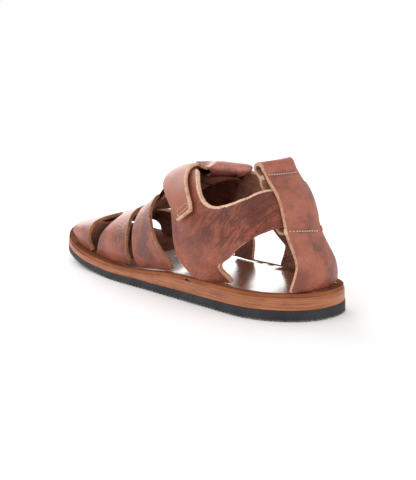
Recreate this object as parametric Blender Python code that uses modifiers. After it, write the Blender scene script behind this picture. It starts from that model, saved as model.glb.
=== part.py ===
"""Left fisherman sandal in pull-up leather on a stitched-down leather and rubber sole.

The shoe stands on its sole: +Y points from heel to toe, +X to the medial (inner) side
of this left shoe and +Z up. The origin is the middle of the bottom of the bounding box.
All lengths are worked out in millimetres and scaled to metres when a mesh is made.
"""

import math

import bmesh
import bpy
from mathutils import Vector

# ---------------------------------------------------------------- driving dimensions (mm)
OBJECT_NAME = "fisherman_sandal"
LENGTH = 285.0               # outsole, heel to toe
RUBBER_HEEL = 7.8            # rubber outsole thickness under the heel
RUBBER_TOE = 4.5             # rubber outsole thickness at the toe
MIDSOLE_THICKNESS = 3.9      # leather midsole, even all along
FOOTBED_THICKNESS = 2.3      # leather footbed that the foot stands on
HEEL_LIFT = 4.0              # leather wedge under the heel, skived to nothing at the waist
TOE_SPRING = 11.5            # rise of the sole's lower side at the toe tip
SPRING_START = 190.0         # where the sole leaves the ground in front
LIFT_END = 168.0             # front end of the heel lift
LIFT_FULL = 108.0            # the lift is full behind this station
SEAT = 0.3                   # clearance between pieces that touch
RIM = 6.0                    # footbed margin outside the straps
LEATHER = 2.7                # wall of the straps
PATCH = 1.1                  # hook-and-loop patch under the instep strap
HEEL_BEND = 0.0150           # forward sweep of the heel pieces per square millimetre across

# Sole outline, one row per point round the edge: station from the heel, offset across.
SOLE_OUTLINE = (  # along, across
    (1.2, 2.6), (7.5, -15.5), (26.0, -31.0), (46.0, -38.0), (80.0, -40.0), (110.0, -41.0),
    (150.0, -42.2), (185.0, -43.5), (210.0, -41.7), (241.0, -37.7), (267.0, -28.6),
    (283.0, -12.6), (286.0, 8.3), (277.3, 26.4), (262.0, 40.6), (235.0, 49.5),
    (205.0, 52.1), (182.0, 47.0), (150.0, 35.5), (110.0, 28.0), (80.0, 28.3),
    (46.0, 31.0), (25.0, 30.6), (6.5, 21.5),
)

# Sections of the last, heel to toe. The girth runs from the footbed out to a belly and
# over the ridge; the two roundness values shape the outer and the inner flank.
LAST_COLUMNS = ("along", "belly_out", "belly_in", "belly_height", "ridge_across",
                "ridge_height", "round_out", "round_in")
LAST_SECTIONS = (
    (20.0, 2.0, 5.0, 16.0, -2.0, 100.0, 2.20, 2.60),
    (45.0, 3.0, 8.0, 20.0, -3.0, 100.0, 2.10, 2.70),
    (75.0, 5.0, 9.0, 22.0, -4.0, 99.0, 2.00, 2.60),
    (100.0, 6.5, 13.0, 20.0, -5.0, 95.5, 1.90, 2.80),
    (125.0, 6.5, 12.0, 18.0, -3.0, 91.0, 1.80, 2.40),
    (150.0, 5.0, 7.0, 16.0, 1.0, 78.0, 1.85, 1.95),
    (175.0, 3.5, 2.5, 14.0, 3.0, 59.5, 2.00, 2.00),
    (200.0, 3.0, 2.0, 12.0, 3.0, 48.0, 2.60, 2.40),
    (225.0, 3.0, 2.0, 11.0, 2.0, 41.2, 3.10, 2.60),
    (250.0, 3.0, 2.0, 9.0, 2.0, 34.0, 3.20, 2.70),
    (270.0, 2.0, 2.0, 6.5, 3.0, 28.6, 3.10, 2.70),
)
BELLY_GIRTH = 0.80           # girth value at the belly; 1 is the footbed, 0 the ridge
FOOT_GIRTH = 0.97            # below this the wall stands upright on the footbed
FOOT_HEIGHT = 2.0            # height of that upright foot


# ---------------------------------------------------------------- shape functions
def clamp(value, low, high):
    return max(low, min(high, value))


def smooth(value):
    value = clamp(value, 0.0, 1.0)
    return value * value * (3.0 - 2.0 * value)


def table_value(xs, ys, x):
    """Monotone cubic through the points (xs, ys), held flat beyond both ends."""
    if x <= xs[0]:
        return ys[0]
    if x >= xs[-1]:
        return ys[-1]
    slopes = [(ys[i + 1] - ys[i]) / (xs[i + 1] - xs[i]) for i in range(len(xs) - 1)]
    tangents = [slopes[0]]
    for before, after in zip(slopes, slopes[1:]):
        tangents.append(0.0 if before * after <= 0.0 else 2.0 * before * after / (before + after))
    tangents.append(slopes[-1])
    i = max(k for k in range(len(xs) - 1) if xs[k] <= x)
    width = xs[i + 1] - xs[i]
    u = (x - xs[i]) / width
    return ((2 * u**3 - 3 * u**2 + 1) * ys[i] + (u**3 - 2 * u**2 + u) * width * tangents[i]
            + (3 * u**2 - 2 * u**3) * ys[i + 1] + (u**3 - u**2) * width * tangents[i + 1])


def closed_outline(points, steps):
    """Points on a closed smooth curve through the given ones, `steps` to each span."""
    count = len(points)
    gaps = [math.sqrt(math.dist(points[i], points[(i + 1) % count])) for i in range(count)]
    tangents = []
    for i, here in enumerate(points):
        before, after = points[i - 1], points[(i + 1) % count]
        gap_in, gap_out = gaps[i - 1], gaps[i]
        tangents.append([((here[k] - before[k]) / gap_in * gap_out
                          + (after[k] - here[k]) / gap_out * gap_in) / (gap_in + gap_out)
                         for k in (0, 1)])
    curve = []
    for i in range(count):
        j = (i + 1) % count
        for step in range(steps):
            u = step / steps
            weights = (2 * u**3 - 3 * u**2 + 1, (u**3 - 2 * u**2 + u) * gaps[i],
                       3 * u**2 - 2 * u**3, (u**3 - u**2) * gaps[i])
            curve.append(tuple(weights[0] * points[i][k] + weights[1] * tangents[i][k]
                               + weights[2] * points[j][k] + weights[3] * tangents[j][k]
                               for k in (0, 1)))
    return curve


OUTLINE_STEPS = 4
OUTLINE = closed_outline(SOLE_OUTLINE, OUTLINE_STEPS)
ORIGIN = Vector(((min(x for _, x in OUTLINE) + max(x for _, x in OUTLINE)) / 2,
                 (min(y for y, _ in OUTLINE) + max(y for y, _ in OUTLINE)) / 2, 0.0))


def edge_across(along, side):
    """How far across the sole's edge lies at a station; side is -1 outer, +1 inner."""
    found = []
    for (y0, x0), (y1, x1) in zip(OUTLINE, OUTLINE[1:] + OUTLINE[:1]):
        if (y0 - along) * (y1 - along) <= 0.0 and y0 != y1:
            found.append(x0 + (x1 - x0) * (along - y0) / (y1 - y0))
    return side * max(side * x for x in found)


def sole_bottom(along):
    return TOE_SPRING * max(0.0, (along - SPRING_START) / (LENGTH - SPRING_START)) ** 2


def rubber_top(along):
    share = clamp(along / LENGTH, 0.0, 1.0)
    return sole_bottom(along) + RUBBER_HEEL + (RUBBER_TOE - RUBBER_HEEL) * share


def lift_thickness(along):
    return HEEL_LIFT * smooth((LIFT_END - along) / (LIFT_END - LIFT_FULL))


def lift_top(along):
    return rubber_top(along) + SEAT + lift_thickness(along)


def midsole_bottom(along):
    return lift_top(along) + SEAT * clamp(lift_thickness(along) / 0.5, 0.0, 1.0)


def midsole_top(along):
    return midsole_bottom(along) + MIDSOLE_THICKNESS


def footbed_top(along):
    return midsole_top(along) + SEAT + FOOTBED_THICKNESS


def last_section(along):
    stations = [row[0] for row in LAST_SECTIONS]
    return [table_value(stations, [row[k] for row in LAST_SECTIONS], along)
            for k in range(1, len(LAST_COLUMNS))]


def last_surface(along, girth):
    """Outer face of the upper at a station; girth -1 outer foot, 0 ridge, +1 inner foot."""
    belly_out, belly_in, belly_height, ridge_x, ridge_z, round_out, round_in = last_section(along)
    side = -1.0 if girth < 0.0 else 1.0
    bulge, roundness = (belly_out, round_out) if side < 0.0 else (belly_in, round_in)
    foot_x = edge_across(clamp(along, 12.0, 275.0), side) - side * RIM
    foot_z = footbed_top(along) + SEAT
    size = abs(girth)
    if size >= FOOT_GIRTH:
        return Vector((foot_x, along, foot_z + FOOT_HEIGHT * (1.0 - size) / (1.0 - FOOT_GIRTH)))
    if size >= BELLY_GIRTH:
        share = (FOOT_GIRTH - size) / (FOOT_GIRTH - BELLY_GIRTH)
        return Vector((foot_x + side * bulge * math.sin(share * math.pi / 2), along,
                       foot_z + FOOT_HEIGHT + (belly_height - FOOT_HEIGHT) * share))
    turn = (1.0 - size / BELLY_GIRTH) * math.pi / 2
    belly_x = foot_x + side * bulge
    belly_z = foot_z + belly_height
    return Vector((ridge_x + (belly_x - ridge_x) * max(0.0, math.cos(turn)) ** (2 / roundness), along,
                   belly_z + (ridge_z - belly_z) * math.sin(turn) ** (2 / roundness)))


# Centre line of the ankle strap's outer face inside the back strap: height, station.
ANKLE_COLUMNS = ("height", "along")
ANKLE_CURVE = ((58.0, 23.4), (62.0, 24.2), (67.0, 25.8), (72.0, 27.5), (79.0, 31.3),
               (82.7, 34.4), (85.0, 36.9), (90.0, 41.1))
CAP_START = 50.0             # behind this station the quarters turn round the heel
CAP_END = 12.0               # station value given to the middle of the heel


def ankle_along(height):
    return table_value([row[0] for row in ANKLE_CURVE], [row[1] for row in ANKLE_CURVE], height)


def quarter_surface(along, girth):
    """The last's surface, turned inwards round the heel behind CAP_START."""
    if along >= CAP_START:
        return last_surface(along, girth)
    base = last_surface(CAP_START, girth)
    turn = (along - CAP_END) / (CAP_START - CAP_END) * math.pi / 2
    across = base.x * math.sin(turn)
    back = ankle_along(base.z)
    rest = CAP_START - back - HEEL_BEND * base.x ** 2
    return Vector((across, back + HEEL_BEND * across ** 2 + rest * (1.0 - math.cos(turn)) ** 3,
                   base.z))


def lifted(surface, along, girth, lift):
    """A point moved outwards from a surface by `lift`."""
    here = surface(along, girth)
    if lift == 0.0:
        return here
    along_step = surface(along + 0.7, girth) - surface(along - 0.7, girth)
    girth_step = surface(along, girth + 0.01) - surface(along, girth - 0.01)
    return here + along_step.cross(girth_step).normalized() * -lift


# ---------------------------------------------------------------- the pieces' own tables
# Edges of the three vamp bands: girth, then the station of each band's front and rear edge.
VAMP_COLUMNS = ("girth", "toe_front", "toe_rear", "mid_front", "mid_rear",
                "last_front", "last_rear")
VAMP_EDGES = (
    (-1.00, 253.0, 224.0, 218.7, 170.8, 164.1, 122.3),
    (-0.90, 256.0, 225.2, 213.0, 170.3, 162.3, 122.6),
    (-0.80, 257.0, 225.3, 208.8, 170.3, 161.9, 128.4),
    (-0.68, 256.5, 224.0, 204.8, 170.8, 163.7, 137.0),
    (-0.55, 256.5, 223.6, 200.8, 173.2, 166.4, 145.6),
    (-0.44, 258.0, 223.8, 198.0, 177.2, 168.8, 151.4),
    (-0.33, 261.5, 224.0, 197.0, 181.0, 172.3, 155.0),
    (-0.24, 265.0, 222.8, 200.5, 183.6, 176.2, 160.5),
    (-0.16, 269.0, 219.0, 207.5, 185.4, 180.6, 165.0),
    (-0.11, 270.2, 214.6, 212.6, 186.4, 184.6, 167.6),
    (0.00, 272.0, 214.4, 212.4, 186.2, 184.4, 169.5),
    (0.11, 273.0, 214.2, 212.2, 185.8, 184.0, 168.0),
    (0.16, 273.3, 217.5, 207.0, 184.2, 179.5, 166.0),
    (0.24, 273.5, 220.5, 199.5, 181.0, 173.0, 161.5),
    (0.33, 273.0, 221.0, 195.5, 176.5, 166.5, 154.5),
    (0.44, 272.0, 219.5, 194.5, 171.5, 158.0, 145.0),
    (0.55, 269.5, 217.5, 195.5, 167.5, 150.5, 134.5),
    (0.68, 262.0, 215.5, 198.0, 162.5, 142.0, 124.0),
    (0.80, 243.5, 213.8, 201.0, 158.0, 133.5, 115.0),
    (0.90, 235.5, 212.6, 204.0, 154.5, 124.0, 103.5),
    (1.00, 233.5, 212.0, 206.0, 152.0, 118.2, 96.8),
)
# Quarters: station, girth of the lower edge, girth of the upper edge (mirrored by side).
QUARTER_COLUMNS = ("along", "low_girth", "high_girth")
OUTER_QUARTER = (
    (12.15, 0.600, 0.392), (17.0, 0.612, 0.386), (22.5, 0.624, 0.380), (29.0, 0.638, 0.378),
    (34.2, 0.658, 0.386), (39.6, 0.687, 0.400), (45.3, 0.719, 0.425), (51.7, 0.754, 0.447),
    (55.5, 0.776, 0.466), (59.6, 0.801, 0.484), (62.5, 0.822, 0.495), (64.7, 0.844, 0.503),
    (66.8, 0.870, 0.508), (68.4, 0.900, 0.512), (69.8, 0.940, 0.516), (70.8, 0.975, 0.518),
    (71.8, 1.000, 0.520), (76.0, 1.000, 0.519), (80.0, 1.000, 0.514), (85.5, 1.000, 0.489),
    (89.0, 1.000, 0.462), (92.0, 1.000, 0.433), (95.0, 0.985, 0.402), (99.2, 0.958, 0.352),
    (103.5, 0.927, 0.300), (107.0, 0.885, 0.255), (109.8, 0.821, 0.215), (112.3, 0.732, 0.200),
    (115.7, 0.610, 0.208), (119.0, 0.545, 0.240), (122.0, 0.490, 0.300), (123.6, 0.450, 0.390),
)
INNER_QUARTER = (
    (12.15, 0.640, 0.440), (17.0, 0.650, 0.436), (22.5, 0.662, 0.434), (29.0, 0.680, 0.434),
    (34.2, 0.710, 0.436), (38.0, 0.755, 0.437), (41.5, 0.825, 0.438), (44.5, 0.900, 0.440),
    (46.5, 0.965, 0.442), (47.8, 1.000, 0.443), (52.0, 1.000, 0.445), (57.0, 1.000, 0.465),
    (61.5, 1.000, 0.482), (63.8, 0.992, 0.490), (65.2, 0.945, 0.494), (66.6, 0.915, 0.498),
    (69.7, 0.876, 0.506), (73.5, 0.856, 0.512), (77.7, 0.837, 0.510), (82.0, 0.817, 0.492),
    (86.0, 0.798, 0.456), (89.7, 0.780, 0.425), (94.0, 0.758, 0.394), (99.9, 0.730, 0.380),
    (105.9, 0.700, 0.392), (111.0, 0.672, 0.420), (116.0, 0.645, 0.460), (121.0, 0.625, 0.495),
    (126.0, 0.608, 0.520), (130.5, 0.590, 0.562),
)
# Instep strap, outer end to inner end: girth, station and lift of the front and rear edge.
CLOSURE_COLUMNS = ("front_girth", "front_along", "front_lift",
                   "rear_girth", "rear_along", "rear_lift")
CLOSURE_ROWS = (
    (-0.614, 104.5, 4.9, -0.555, 92.2, 4.9),
    (-0.570, 109.8, 4.9, -0.535, 92.6, 4.9),
    (-0.523, 115.0, 4.9, -0.505, 94.0, 4.9),
    (-0.442, 125.0, 5.0, -0.412, 102.2, 4.9),
    (-0.360, 133.5, 5.6, -0.305, 111.0, 4.9),
    (-0.280, 138.5, 6.4, -0.225, 115.5, 4.9),
    (-0.180, 141.0, 6.6, -0.150, 117.0, 3.6),
    (-0.080, 141.5, 5.0, -0.070, 117.2, 0.7),
    (0.020, 140.5, 2.0, 0.020, 116.4, -2.1),
    (0.130, 138.0, -0.4, 0.130, 114.0, -3.7),
    (0.260, 133.3, -1.2, 0.260, 109.6, -3.2),
    (0.335, 134.5, 0.9, 0.335, 107.0, 0.2),
    (0.385, 148.0, 3.5, 0.385, 105.2, 3.2),
    (0.425, 157.0, 3.6, 0.425, 103.6, 3.3),
    (0.480, 160.0, 3.6, 0.480, 101.2, 3.3),
    (0.560, 153.0, 3.5, 0.560, 96.8, 3.3),
    (0.640, 137.0, 3.4, 0.640, 92.4, 3.3),
    (0.700, 119.0, 3.3, 0.700, 88.5, 3.3),
)
# Tongue, vamp end to free end: station, lift of the loop's outside at the outer and inner
# edge, girth of both edges, and how much of the tunnel's tilt the row takes.
TONGUE_TILT = 10.0
TONGUE_SAG = 5.2             # how far the tunnel hangs below a round instep at its middle
TONGUE_COLUMNS = ("along", "outer_lift", "inner_lift", "outer_girth", "inner_girth", "tilt")
TONGUE_ROWS = (
    (190.0, -5.8, -5.8, -0.250, 0.250, 0.0),
    (181.0, -5.8, -5.8, -0.247, 0.255, 0.0),
    (172.0, -5.8, -5.8, -0.240, 0.262, 0.0),
    (165.0, -5.9, -6.0, -0.230, 0.275, 0.05),
    (157.0, -6.3, -6.5, -0.215, 0.295, 0.20),
    (148.0, -7.3, -6.8, -0.195, 0.315, 0.45),
    (139.0, -8.3, -7.0, -0.172, 0.330, 0.70),
    (130.0, -8.9, -7.0, -0.148, 0.338, 0.90),
    (121.0, -9.2, -7.0, -0.122, 0.342, 1.0),
    (114.5, -9.0, -6.8, -0.108, 0.344, 1.0),
    (110.6, -7.6, -5.8, -0.102, 0.345, 1.0),
    (108.2, -5.2, -4.0, -0.100, 0.345, 1.0),
    (107.4, -2.2, -1.6, -0.100, 0.345, 1.0),
    (107.9, 0.9, 0.8, -0.100, 0.345, 1.0),
    (109.9, 3.4, 2.9, -0.100, 0.345, 1.0),
    (113.2, 4.9, 4.1, -0.100, 0.345, 1.0),
    (117.5, 5.5, 4.6, -0.100, 0.345, 1.0),
    (121.5, 5.8, 4.8, -0.098, 0.345, 1.0),
)
# Back strap, sole to inner end: station of the side edges, height of the outer face, half
# width, and how far the side edges stand forward of the centre line.
BACK_COLUMNS = ("edge_along", "height", "half_width", "side_forward")
BACK_ROWS = (
    (14.6, 19.0, 22.4, 6.6), (13.4, 23.0, 21.8, 6.3), (12.1, 28.8, 20.4, 5.6),
    (11.7, 35.1, 18.5, 4.8), (13.3, 40.0, 17.3, 4.3), (16.6, 45.3, 16.6, 4.1),
    (20.2, 51.0, 16.3, 4.0), (23.0, 56.0, 16.2, 4.0), (24.8, 62.0, 16.1, 3.9),
    (26.3, 67.2, 15.9, 3.8), (27.9, 72.0, 15.6, 3.7), (30.0, 76.8, 15.3, 3.5),
    (33.7, 82.7, 15.0, 3.3), (38.6, 88.0, 15.0, 2.8), (42.2, 91.8, 15.0, 2.4),
    (44.6, 95.0, 15.1, 2.1), (46.3, 98.2, 15.1, 1.8), (48.0, 100.5, 15.1, 1.7),
    (50.8, 101.4, 15.1, 1.7), (53.8, 100.0, 15.1, 1.7), (55.2, 97.2, 15.1, 1.9),
    (54.0, 93.8, 15.0, 2.2), (51.8, 90.8, 15.0, 2.5), (50.1, 88.0, 15.0, 2.9),
    (48.7, 85.0, 15.0, 3.2), (46.6, 82.3, 15.0, 3.3), (44.4, 79.6, 15.1, 3.4),
    (41.8, 76.0, 15.3, 3.5), (39.5, 72.0, 15.6, 3.7), (37.2, 67.0, 15.9, 3.8),
    (35.5, 62.0, 16.1, 3.9), (34.2, 58.6, 16.2, 4.0), (32.0, 56.4, 16.2, 4.0),
    (29.4, 54.6, 16.2, 4.0),
)
FOOT_FLARE = 6.0             # how far the quarters' feet spread along the sole
FOOT_TUCK = 6.5              # how far the outer quarter's rear foot curls inwards
FOOT_OUT = 3.0               # how far the outer quarter's foot stands out towards the rim


# ---------------------------------------------------------------- piece surfaces
def flared(side, along, girth):
    """Quarter surface with the foot spread where it is let into the footbed."""
    here = quarter_surface(along, side * girth)
    low = smooth((girth - 0.84) / 0.16)
    if side < 0.0:
        share = low * smooth((86.0 - along) / 14.0)
        return here + Vector((FOOT_TUCK * share - FOOT_OUT * low, -FOOT_FLARE * share, 0.0))
    share = low * smooth((along - 50.0) / 14.0)
    return here + Vector((0.0, FOOT_FLARE * share, 0.0))


def resample(rows, column, share):
    """A table's column at a share (0 to 1) of its rows."""
    return table_value(list(range(len(rows))), [row[column] for row in rows],
                       share * (len(rows) - 1))


def back_point(share, across):
    edge, height, half_width, forward = [resample(BACK_ROWS, k, share) for k in range(4)]
    return Vector((across * half_width, edge + forward * (across * across - 1.0), height))


def closure_point(share, across, drop=0.0):
    """Instep strap's outer face; across 0 is the front edge and 1 the rear edge."""
    row = [resample(CLOSURE_ROWS, k, share) for k in range(6)]
    girth, along, lift = [row[k] + (row[k + 3] - row[k]) * across for k in range(3)]
    return lifted(last_surface, along, girth, lift - drop)


def tongue_point(share, across):
    along, lift_out, lift_in, girth_out, girth_in, tilt = [
        resample(TONGUE_ROWS, k, share) for k in range(6)]
    lift = lift_out + (lift_in - lift_out) * smooth(across)
    lift -= TONGUE_SAG * tilt * 4.0 * across * (1.0 - across)
    girth = girth_out + (girth_in - girth_out) * across
    return lifted(last_surface, along - TONGUE_TILT * tilt * across, girth, lift)


# ---------------------------------------------------------------- scene and materials
def clear_scene():
    for item in list(bpy.data.objects):
        bpy.data.objects.remove(item, do_unlink=True)
    for item in list(bpy.data.meshes):
        bpy.data.meshes.remove(item)
    for item in list(bpy.data.collections):
        bpy.data.collections.remove(item)


def make_material(name, colour, roughness):
    material = bpy.data.materials.new(name)
    material.use_nodes = True
    shader = material.node_tree.nodes["Principled BSDF"]
    shader.inputs["Base Color"].default_value = (*colour, 1.0)
    shader.inputs["Roughness"].default_value = roughness
    return material


def add_object(name, bm, material):
    """Turn a bmesh in millimetres into a named object in metres."""
    bmesh.ops.translate(bm, vec=-ORIGIN, verts=bm.verts)
    bmesh.ops.scale(bm, vec=(0.001, 0.001, 0.001), verts=bm.verts)
    bmesh.ops.recalc_face_normals(bm, faces=bm.faces)
    mesh = bpy.data.meshes.new(name)
    bm.to_mesh(mesh)
    bm.free()
    item = bpy.data.objects.new(name, mesh)
    mesh.materials.append(material)
    COLLECTION.objects.link(item)
    return item


def give_wall(item, thickness, offset):
    wall = item.modifiers.new("wall", "SOLIDIFY")
    wall.thickness = thickness / 1000.0
    wall.offset = offset
    wall.use_even_offset = True
    return item


def sheet(name, material, place, across_count, along_count, inner=True, thickness=LEATHER):
    """A grid laid on place(u, v) with a wall on its inner or outer side."""
    bm = bmesh.new()
    bmesh.ops.create_grid(bm, x_segments=across_count, y_segments=along_count, size=0.5)
    for vert in bm.verts:
        vert.co = place(vert.co.x + 0.5, vert.co.y + 0.5)
    middle = place(0.5, 0.5)
    step_u = place(0.51, 0.5) - place(0.49, 0.5)
    step_v = place(0.5, 0.51) - place(0.5, 0.49)
    outward = step_u.cross(step_v)
    item = add_sheet(name, bm, material, middle, outward)
    return give_wall(item, thickness, -1.0 if inner else 1.0)


def add_sheet(name, bm, material, middle, outward):
    """Open sheet with every normal on the same side as `outward` near `middle`."""
    bmesh.ops.recalc_face_normals(bm, faces=bm.faces)
    bm.faces.ensure_lookup_table()
    nearest = min(bm.faces, key=lambda face: (face.calc_center_median() - middle).length)
    if nearest.normal.dot(outward) < 0.0:
        bmesh.ops.reverse_faces(bm, faces=bm.faces)
    bmesh.ops.translate(bm, vec=-ORIGIN, verts=bm.verts)
    bmesh.ops.scale(bm, vec=(0.001, 0.001, 0.001), verts=bm.verts)
    mesh = bpy.data.meshes.new(name)
    bm.to_mesh(mesh)
    bm.free()
    item = bpy.data.objects.new(name, mesh)
    mesh.materials.append(material)
    COLLECTION.objects.link(item)
    return item


# ---------------------------------------------------------------- sole
def inset_outline(inset):
    count = len(OUTLINE)
    points = []
    for i, (y, x) in enumerate(OUTLINE):
        before, after = OUTLINE[i - 1], OUTLINE[(i + 1) % count]
        tangent = Vector((after[1] - before[1], after[0] - before[0], 0.0)).normalized()
        normal = Vector((tangent.y, -tangent.x, 0.0))
        points.append(Vector((x, y, 0.0)) + normal * inset)
    return points


SOLE_STATIONS = [20.0 * k for k in range(1, 6)] + [108.0 + 6.0 * k for k in range(1, 11)] + [
    180.0, 190.0, 200.0, 212.0, 224.0, 236.0, 248.0, 260.0, 272.0]


def sole_layer(name, material, inset, low, high, end=None):
    """A layer with the sole's outline between the heights low(station) and high(station)."""
    bm = bmesh.new()
    bm.faces.new([bm.verts.new(point) for point in inset_outline(inset)])
    for station in SOLE_STATIONS + ([end] if end else []):
        bmesh.ops.bisect_plane(bm, geom=bm.verts[:] + bm.edges[:] + bm.faces[:], dist=0.01,
                               plane_co=(0.0, station, 0.0), plane_no=(0.0, 1.0, 0.0),
                               clear_outer=(station == end))
    bottom = list(bm.verts)
    grown = bmesh.ops.extrude_face_region(bm, geom=bm.faces[:])
    top = [item for item in grown["geom"] if isinstance(item, bmesh.types.BMVert)]
    for vert in bottom:
        vert.co.z = low(vert.co.y)
    for vert in top:
        vert.co.z = high(vert.co.y)
    return add_object(name, bm, material)


# ---------------------------------------------------------------- upper
def build_vamp(material):
    """Three bands cut from one piece of leather, joined by a bar along the ridge."""
    girths = [row[0] for row in VAMP_EDGES]
    columns = []
    for left, right in zip(girths, girths[1:]):
        parts = max(1, round((right - left) / 0.06))
        columns += [left + (right - left) * k / parts for k in range(parts)]
    columns.append(girths[-1])
    bands = ((0, 5), (2, 6), (4, 6))
    bm = bmesh.new()
    strips = []
    for girth in columns:
        edges = [table_value(girths, [row[k] for row in VAMP_EDGES], girth) for k in range(1, 7)]
        line = []
        for first, parts in bands:
            front, rear = edges[first], edges[first + 1]
            line.append([bm.verts.new(last_surface(front + (rear - front) * k / parts, girth))
                         for k in range(parts + 1)])
        strips.append(line)
    for (girth_a, line_a), (girth_b, line_b) in zip(zip(columns, strips),
                                                    zip(columns[1:], strips[1:])):
        for band_a, band_b in zip(line_a, line_b):
            for k in range(len(band_a) - 1):
                bm.faces.new((band_a[k], band_a[k + 1], band_b[k + 1], band_b[k]))
        if girth_a >= -0.111 and girth_b <= 0.111:
            for k in (0, 1):
                bm.faces.new((line_a[k][-1], line_a[k + 1][0],
                              line_b[k + 1][0], line_b[k][-1]))
    item = add_sheet("vamp", bm, material, last_surface(200.0, 0.0), Vector((0.0, 0.0, 1.0)))
    return give_wall(item, LEATHER, -1.0)


def build_quarter(name, material, side, rows):
    """One side piece: foot on the sole, front flank and half of the ankle strap."""
    across = 7
    stations = []
    for first, second in zip(rows, rows[1:]):
        stations.append(first)
        if second[0] - first[0] > 4.4:
            stations.append(tuple((a + b) / 2 for a, b in zip(first, second)))
    stations.append(rows[-1])
    bm = bmesh.new()
    lines = [[bm.verts.new(flared(side, along, low + (high - low) * k / across))
              for k in range(across + 1)] for along, low, high in stations]
    for line_a, line_b in zip(lines, lines[1:]):
        for k in range(across):
            bm.faces.new((line_a[k], line_a[k + 1], line_b[k + 1], line_b[k]))
    item = add_sheet(name, bm, material, flared(side, 80.0, 0.75), Vector((side, 0.0, 0.0)))
    return give_wall(item, LEATHER, -1.0)


def build_patch(material):
    """Hook-and-loop patch under the instep strap's outer half."""
    return sheet("hook_patch", material,
                 lambda u, v: closure_point(0.04 + 0.50 * v, 0.10 + 0.80 * u, LEATHER + 0.90),
                 4, 16, thickness=PATCH)


# ---------------------------------------------------------------- build
clear_scene()
COLLECTION = bpy.data.collections.new(OBJECT_NAME)
bpy.context.scene.collection.children.link(COLLECTION)

rubber = make_material("rubber", (0.035, 0.036, 0.040), 0.75)
sole_leather = make_material("sole_leather", (0.50, 0.27, 0.14), 0.55)
footbed_leather = make_material("footbed_leather", (0.36, 0.16, 0.08), 0.30)
upper_leather = make_material("upper_leather", (0.30, 0.115, 0.07), 0.45)
hook_tape = make_material("hook_tape", (0.03, 0.035, 0.045), 0.90)

sole_layer("outsole", rubber, 0.0, sole_bottom, rubber_top)
sole_layer("heel_lift", sole_leather, 0.4,
           lambda y: rubber_top(y) + SEAT, lift_top, end=155.0)
sole_layer("midsole", sole_leather, 0.4, midsole_bottom, midsole_top)
sole_layer("footbed", footbed_leather, 1.1, lambda y: midsole_top(y) + SEAT, footbed_top)

build_vamp(upper_leather)
build_quarter("outer_quarter", upper_leather, -1.0, OUTER_QUARTER)
build_quarter("inner_quarter", upper_leather, 1.0, INNER_QUARTER)
sheet("tongue", upper_leather, lambda u, v: tongue_point(v, u), 8, 38)
sheet("closure_strap", upper_leather, lambda u, v: closure_point(v, u), 6, 34)
sheet("back_strap", upper_leather, lambda u, v: back_point(v, 2.0 * u - 1.0), 8, 62)
build_patch(hook_tape)
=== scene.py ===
"""Left fisherman sandal: pull-up leather upper, stacked leather sole and rubber outsole.

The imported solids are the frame. Every leather piece is a finished copy of its solid, with
rounded raw edges, a grain side and a flesh side. The sole layers are modelled anew on the
solids' own outline; the throat's lining, the tread and the threads are pieces of their own.
Places and lengths are in millimetres unless a name or docstring says otherwise; +Y points to
the toe and +X to the inner side.
"""
import logging
import math
from bisect import bisect_right
from contextlib import contextmanager
from dataclasses import dataclass, field
from enum import Enum
from typing import Callable, Iterable, Iterator, Optional, Sequence, Union

import bmesh
import bpy
from mathutils.bvhtree import BVHTree
from mathutils.kdtree import KDTree
from mathutils import Matrix, Vector, noise


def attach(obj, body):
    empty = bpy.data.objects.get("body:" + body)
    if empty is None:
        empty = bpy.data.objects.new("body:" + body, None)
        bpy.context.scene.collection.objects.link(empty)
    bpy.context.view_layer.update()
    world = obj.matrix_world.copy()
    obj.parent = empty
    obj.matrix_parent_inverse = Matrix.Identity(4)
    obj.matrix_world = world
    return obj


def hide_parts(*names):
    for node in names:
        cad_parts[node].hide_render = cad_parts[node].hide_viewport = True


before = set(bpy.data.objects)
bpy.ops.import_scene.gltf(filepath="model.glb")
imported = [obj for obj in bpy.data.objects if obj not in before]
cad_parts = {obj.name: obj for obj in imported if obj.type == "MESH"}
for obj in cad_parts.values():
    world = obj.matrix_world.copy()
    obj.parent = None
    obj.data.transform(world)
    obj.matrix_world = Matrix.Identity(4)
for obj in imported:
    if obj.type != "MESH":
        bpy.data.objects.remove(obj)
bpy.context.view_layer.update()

LOG = logging.getLogger("sandal")
MM = 0.001
BODY = "root"
GRAIN_GROUP = "leather_grain"
UP = Vector((0.0, 0.0, 1.0))
Socket = bpy.types.NodeSocket
Value = Union[Socket, float, tuple]


class Side(Enum):
    """Which face of a leather piece a polygon belongs to; the value is its material slot."""

    GRAIN = 0
    FLESH = 1
    EDGE = 2


# ------------------------------------------------------------------ small tools
def deselect() -> None:
    """Leave edit mode and deselect every object."""
    if bpy.context.object and bpy.context.object.mode != "OBJECT":
        bpy.ops.object.mode_set(mode="OBJECT")
    bpy.ops.object.select_all(action="DESELECT")


def activate(item: bpy.types.Object) -> None:
    """Make one object the only selected and the active one.

    Args:
        item: The object.
    """
    deselect()
    item.select_set(True)
    bpy.context.view_layer.objects.active = item


@contextmanager
def editing(item: bpy.types.Object) -> Iterator[None]:
    """Open an object in edit mode with all of it selected, and close it again.

    Args:
        item: The object to edit.

    Yields:
        Nothing.
    """
    activate(item)
    bpy.ops.object.mode_set(mode="EDIT")
    bpy.ops.mesh.select_all(action="SELECT")
    yield
    bpy.ops.object.mode_set(mode="OBJECT")


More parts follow.
